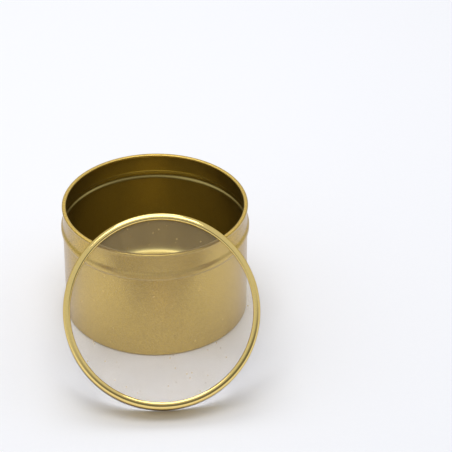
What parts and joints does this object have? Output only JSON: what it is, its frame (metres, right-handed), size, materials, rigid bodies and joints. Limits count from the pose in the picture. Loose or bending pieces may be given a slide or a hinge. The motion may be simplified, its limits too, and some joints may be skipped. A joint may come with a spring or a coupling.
{
  "type": "window lid tin",
  "caption": "Round seamless gold-lacquered tin, open, with its slip-on clear window lid taken off and leaning on the rim.",
  "frame": {"origin": "centre of the tin's base, on the surface that it stands on", "axes": "+Z along the tin's axis, out of its mouth; the lid leans on the tin from the -Y side"},
  "size_m": [0.077, 0.1185, 0.0636],
  "materials": {
    "tin_lacquer": "satin gold lacquer on tinplate",
    "lid_lacquer": "bright gold lacquer on tinplate",
    "clear_window": "clear polished plastic sheet"
  },
  "bodies": {
    "tin": {"tin_body": "tin_lacquer"},
    "lid": {"lid_ring": "lid_lacquer", "window": "clear_window"}
  },
  "joints": [
    {"name": "lid_lift", "type": "slide", "parent": "tin", "child": "lid", "axis": [0, 0, 1], "range_m": [0, 0.07]}
  ]
}
